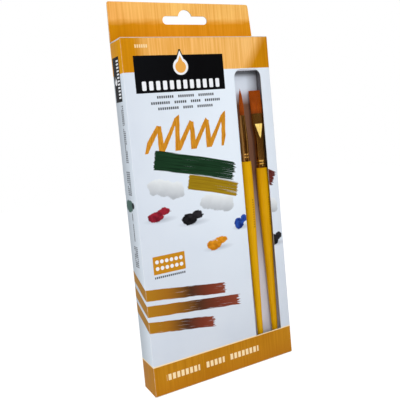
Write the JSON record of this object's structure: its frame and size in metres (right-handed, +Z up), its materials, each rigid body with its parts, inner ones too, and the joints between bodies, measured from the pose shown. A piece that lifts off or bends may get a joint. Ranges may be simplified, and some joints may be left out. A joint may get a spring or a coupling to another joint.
{
  "type": "gouache paint box",
  "caption": "Upright folding carton with a hang tab and a brush window, holding a formed tray of screw-capped paint tubes, a round brush and a flat brush.",
  "frame": {"origin": "middle of the footprint, on the surface that the box stands on", "axes": "+Z up, +X to the right seen from the front, -Y out of the front panel with the brush window"},
  "size_m": [0.125, 0.022, 0.293],
  "materials": {
    "printed_card": "gloss",
    "orange_card": "gloss",
    "plain_card": "matte",
    "tray_plastic": "gloss",
    "tube_metal": "satin",
    "cap_plastic": "satin",
    "yellow_handle": "gloss",
    "ferrule_metal": "gloss",
    "bristle": "satin",
    "paint_01": "satin",
    "paint_02": "satin",
    "paint_03": "satin",
    "paint_04": "satin",
    "paint_05": "satin",
    "paint_06": "satin",
    "paint_07": "satin",
    "paint_08": "satin",
    "paint_09": "satin",
    "paint_10": "satin",
    "paint_11": "satin",
    "paint_12": "satin"
  },
  "bodies": {
    "carton": {"front_panel": "printed_card", "left_side_panel": "printed_card", "right_side_panel": "printed_card", "back_panel": "printed_card", "hang_tab_front": "orange_card", "glue_flap": "plain_card"},
    "lid": {"lid": "orange_card"},
    "tuck_flap": {"tuck_flap": "plain_card"},
    "dust_flap_left": {"dust_flap_left": "plain_card"},
    "dust_flap_right": {"dust_flap_right": "plain_card"},
    "bottom_lid": {"bottom_lid": "orange_card"},
    "bottom_tuck_flap": {"bottom_tuck_flap": "plain_card"},
    "bottom_dust_flap_left": {"bottom_dust_flap_left": "plain_card"},
    "bottom_dust_flap_right": {"bottom_dust_flap_right": "plain_card"},
    "tray": {"inner_tray": "tray_plastic", "tube_01": "tube_metal", "tube_02": "tube_metal", "tube_03": "tube_metal", "tube_04": "tube_metal", "tube_05": "tube_metal", "tube_06": "tube_metal", "tube_07": "tube_metal", "tube_08": "tube_metal", "tube_09": "tube_metal", "tube_10": "tube_metal", "tube_11": "tube_metal", "tube_12": "tube_metal", "paint_01": "paint_01", "paint_02": "paint_02", "paint_03": "paint_03", "paint_04": "paint_04", "paint_05": "paint_05", "paint_06": "paint_06", "paint_07": "paint_07", "paint_08": "paint_08", "paint_09": "paint_09", "paint_10": "paint_10", "paint_11": "paint_11", "paint_12": "paint_12", "round_brush_handle": "yellow_handle", "round_brush_ferrule": "ferrule_metal", "round_brush_bristles": "bristle", "flat_brush_handle": "yellow_handle", "flat_brush_ferrule": "ferrule_metal", "flat_brush_bristles": "bristle"},
    "cap_01": {"cap_01": "cap_plastic"},
    "cap_02": {"cap_02": "cap_plastic"},
    "cap_03": {"cap_03": "cap_plastic"},
    "cap_04": {"cap_04": "cap_plastic"},
    "cap_05": {"cap_05": "cap_plastic"},
    "cap_06": {"cap_06": "cap_plastic"},
    "cap_07": {"cap_07": "cap_plastic"},
    "cap_08": {"cap_08": "cap_plastic"},
    "cap_09": {"cap_09": "cap_plastic"},
    "cap_10": {"cap_10": "cap_plastic"},
    "cap_11": {"cap_11": "cap_plastic"},
    "cap_12": {"cap_12": "cap_plastic"}
  },
  "joints": [
    {"name": "lid_hinge", "type": "hinge", "parent": "carton", "child": "lid", "pos_m": [0, -0.01075, 0.26275], "axis": [1, 0, 0], "range_deg": [0, 150]},
    {"name": "tuck_fold", "type": "hinge", "parent": "lid", "child": "tuck_flap", "pos_m": [0, 0.00955, 0.26275], "axis": [1, 0, 0], "range_deg": [-37.5, 0]},
    {"name": "dust_fold_left", "type": "hinge", "parent": "carton", "child": "dust_flap_left", "pos_m": [-0.06225, 0, 0.26215], "axis": [0, -1, 0], "range_deg": [0, 52.5]},
    {"name": "dust_fold_right", "type": "hinge", "parent": "carton", "child": "dust_flap_right", "pos_m": [0.06225, 0, 0.26215], "axis": [0, 1, 0], "range_deg": [0, 52.5]},
    {"name": "bottom_lid_hinge", "type": "hinge", "parent": "carton", "child": "bottom_lid", "pos_m": [0, -0.01075, 0.00025], "axis": [-1, 0, 0], "range_deg": [0, 150]},
    {"name": "bottom_tuck_fold", "type": "hinge", "parent": "bottom_lid", "child": "bottom_tuck_flap", "pos_m": [0, 0.00955, 0.00025], "axis": [-1, 0, 0], "range_deg": [-37.5, 0]},
    {"name": "bottom_dust_fold_left", "type": "hinge", "parent": "carton", "child": "bottom_dust_flap_left", "pos_m": [-0.0617, 0, 0.00085], "axis": [0, 1, 0], "range_deg": [0, 52.5]},
    {"name": "bottom_dust_fold_right", "type": "hinge", "parent": "carton", "child": "bottom_dust_flap_right", "pos_m": [0.0617, 0, 0.00085], "axis": [0, -1, 0], "range_deg": [0, 52.5]},
    {"name": "tray_slide", "type": "slide", "parent": "carton", "child": "tray", "axis": [0, 0, 1], "range_m": [0, 0.002]},
    {"name": "cap_01_turn", "type": "hinge", "parent": "tray", "child": "cap_01", "pos_m": [-0.04425, -0.0019, 0.015], "axis": [-1, 0, 0], "range_deg": [0, 1080]},
    {"name": "cap_02_turn", "type": "hinge", "parent": "tray", "child": "cap_02", "pos_m": [0.0108, -0.0019, 0.036], "axis": [1, 0, 0], "range_deg": [0, 1080]},
    {"name": "cap_03_turn", "type": "hinge", "parent": "tray", "child": "cap_03", "pos_m": [-0.04425, -0.0019, 0.057], "axis": [-1, 0, 0], "range_deg": [0, 1080]},
    {"name": "cap_04_turn", "type": "hinge", "parent": "tray", "child": "cap_04", "pos_m": [0.0108, -0.0019, 0.078], "axis": [1, 0, 0], "range_deg": [0, 1080]},
    {"name": "cap_05_turn", "type": "hinge", "parent": "tray", "child": "cap_05", "pos_m": [-0.04425, -0.0019, 0.099], "axis": [-1, 0, 0], "range_deg": [0, 1080]},
    {"name": "cap_06_turn", "type": "hinge", "parent": "tray", "child": "cap_06", "pos_m": [0.0108, -0.0019, 0.12], "axis": [1, 0, 0], "range_deg": [0, 1080]},
    {"name": "cap_07_turn", "type": "hinge", "parent": "tray", "child": "cap_07", "pos_m": [-0.04425, -0.0019, 0.141], "axis": [-1, 0, 0], "range_deg": [0, 1080]},
    {"name": "cap_08_turn", "type": "hinge", "parent": "tray", "child": "cap_08", "pos_m": [0.0108, -0.0019, 0.162], "axis": [1, 0, 0], "range_deg": [0, 1080]},
    {"name": "cap_09_turn", "type": "hinge", "parent": "tray", "child": "cap_09", "pos_m": [-0.04425, -0.0019, 0.183], "axis": [-1, 0, 0], "range_deg": [0, 1080]},
    {"name": "cap_10_turn", "type": "hinge", "parent": "tray", "child": "cap_10", "pos_m": [0.0108, -0.0019, 0.204], "axis": [1, 0, 0], "range_deg": [0, 1080]},
    {"name": "cap_11_turn", "type": "hinge", "parent": "tray", "child": "cap_11", "pos_m": [-0.04425, -0.0019, 0.225], "axis": [-1, 0, 0], "range_deg": [0, 1080]},
    {"name": "cap_12_turn", "type": "hinge", "parent": "tray", "child": "cap_12", "pos_m": [0.0108, -0.0019, 0.246], "axis": [1, 0, 0], "range_deg": [0, 1080]}
  ],
  "couplings": [
    {"joint": "tuck_fold", "follows": "lid_hinge", "ratio": -0.25},
    {"joint": "dust_fold_left", "follows": "lid_hinge", "ratio": 0.35},
    {"joint": "dust_fold_right", "follows": "lid_hinge", "ratio": 0.35},
    {"joint": "bottom_tuck_fold", "follows": "bottom_lid_hinge", "ratio": -0.25},
    {"joint": "bottom_dust_fold_left", "follows": "bottom_lid_hinge", "ratio": 0.35},
    {"joint": "bottom_dust_fold_right", "follows": "bottom_lid_hinge", "ratio": 0.35}
  ]
}
